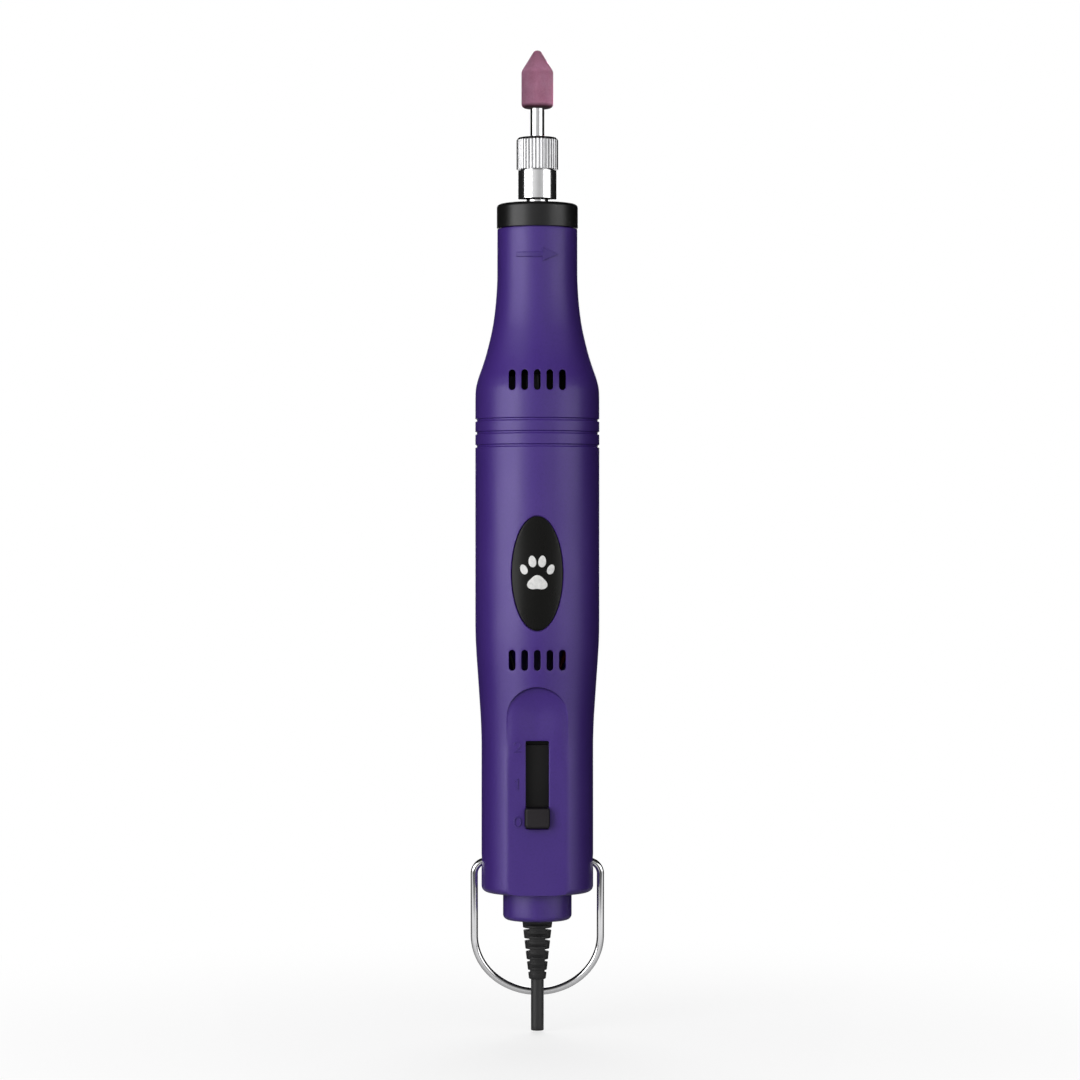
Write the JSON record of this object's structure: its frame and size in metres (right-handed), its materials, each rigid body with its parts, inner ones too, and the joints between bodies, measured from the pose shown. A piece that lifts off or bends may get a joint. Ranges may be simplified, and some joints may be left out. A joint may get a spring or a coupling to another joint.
{
  "type": "electric nail grinder",
  "caption": "Pen-shaped corded rotary tool for filing pets' nails: spindle, collet chuck and grinding stone, slide switch, hanging bail.",
  "frame": {"origin": "on the spindle axis, at the lower end of the cord, which is the middle of the bottom of the bounding box", "axes": "+Z along the spindle towards the grinding stone, -Y out of the front, where the switch and badge are, +X to the right seen from the front"},
  "size_m": [0.0302, 0.028, 0.2212],
  "materials": {
    "purple_plastic": "satin moulded",
    "black_plastic": "fine matt moulded",
    "badge_gloss": "gloss with a pale printed paw",
    "rubber": "matt",
    "chrome": "polished",
    "steel": "ground",
    "dark_steel": "laminated",
    "ferrite": "sintered",
    "aluminium": "turned",
    "brass": "stamped",
    "bronze": "sintered, oiled",
    "copper": "enamelled wire",
    "stone": "coarse, vitrified",
    "fan_plastic": "moulded",
    "board": "coated laminate",
    "ceramic": "matt",
    "carbon": "pressed carbon",
    "red_wire": "smooth sleeve",
    "black_wire": "smooth sleeve"
  },
  "bodies": {
    "housing": {"front_shell": "purple_plastic", "rear_shell": "purple_plastic", "nose_cap": "black_plastic", "badge_plate": "badge_gloss", "housing_screw_lower_left": "steel", "housing_screw_lower_right": "steel", "housing_screw_upper_left": "steel", "housing_screw_upper_right": "steel", "front_bearing_outer_race": "steel", "rear_bearing_outer_race": "steel", "bearing_spacer": "aluminium", "motor_can": "steel", "motor_bushing_front": "bronze", "motor_bushing_rear": "bronze", "motor_end_cap": "black_plastic", "motor_magnet_left": "ferrite", "motor_magnet_right": "ferrite", "carbon_brush_left": "carbon", "carbon_brush_right": "carbon", "motor_terminal_left": "brass", "motor_terminal_right": "brass", "switch_body": "black_plastic", "circuit_board": "board", "speed_resistor": "ceramic", "supply_wire_black": "black_wire", "supply_wire_red": "red_wire", "motor_wire_black": "black_wire", "motor_wire_red": "red_wire", "strain_relief": "rubber", "cord": "rubber"},
    "spindle": {"spindle": "chrome", "front_bearing_inner_race": "steel", "rear_bearing_inner_race": "steel", "shaft_coupling": "black_plastic", "cooling_fan": "fan_plastic", "motor_shaft": "steel", "armature_core": "dark_steel", "armature_winding": "copper", "commutator": "copper"},
    "front_balls": {"front_bearing_balls": "steel"},
    "rear_balls": {"rear_bearing_balls": "steel"},
    "collet": {"collet": "steel"},
    "collet_nut": {"collet_nut": "chrome"},
    "bit": {"bit_mandrel": "chrome", "grinding_stone": "stone"},
    "switch": {"switch_slider": "black_plastic", "switch_contact": "brass"},
    "bail": {"bail": "chrome"}
  },
  "joints": [
    {"name": "spindle_spin", "type": "hinge", "parent": "housing", "child": "spindle", "pos_m": [0, 0, 0.1702], "axis": [0, 0, 1], "continuous": true},
    {"name": "front_bearing_roll", "type": "hinge", "parent": "housing", "child": "front_balls", "pos_m": [0, 0, 0.1817], "axis": [0, 0, 1], "continuous": true},
    {"name": "rear_bearing_roll", "type": "hinge", "parent": "housing", "child": "rear_balls", "pos_m": [0, 0, 0.1611], "axis": [0, 0, 1], "continuous": true},
    {"name": "collet_slide", "type": "slide", "parent": "spindle", "child": "collet", "axis": [0, 0, 1], "range_m": [0, 0.0045]},
    {"name": "nut_turn", "type": "hinge", "parent": "collet", "child": "collet_nut", "pos_m": [0, 0, 0.1977], "axis": [0, 0, 1], "range_deg": [0, 2165]},
    {"name": "bit_slide", "type": "slide", "parent": "collet", "child": "bit", "axis": [0, 0, 1], "range_m": [0, 0.03]},
    {"name": "switch_slide", "type": "slide", "parent": "housing", "child": "switch", "axis": [0, 0, 1], "range_m": [0, 0.014]},
    {"name": "bail_swing", "type": "hinge", "parent": "housing", "child": "bail", "pos_m": [0, 0, 0.03825], "axis": [1, 0, 0], "range_deg": [-0.5, 146]}
  ],
  "couplings": [
    {"joint": "front_bearing_roll", "follows": "spindle_spin", "ratio": 0.386},
    {"joint": "rear_bearing_roll", "follows": "spindle_spin", "ratio": 0.386},
    {"joint": "nut_turn", "follows": "collet_slide", "rad_per_m": 8377.6}
  ]
}
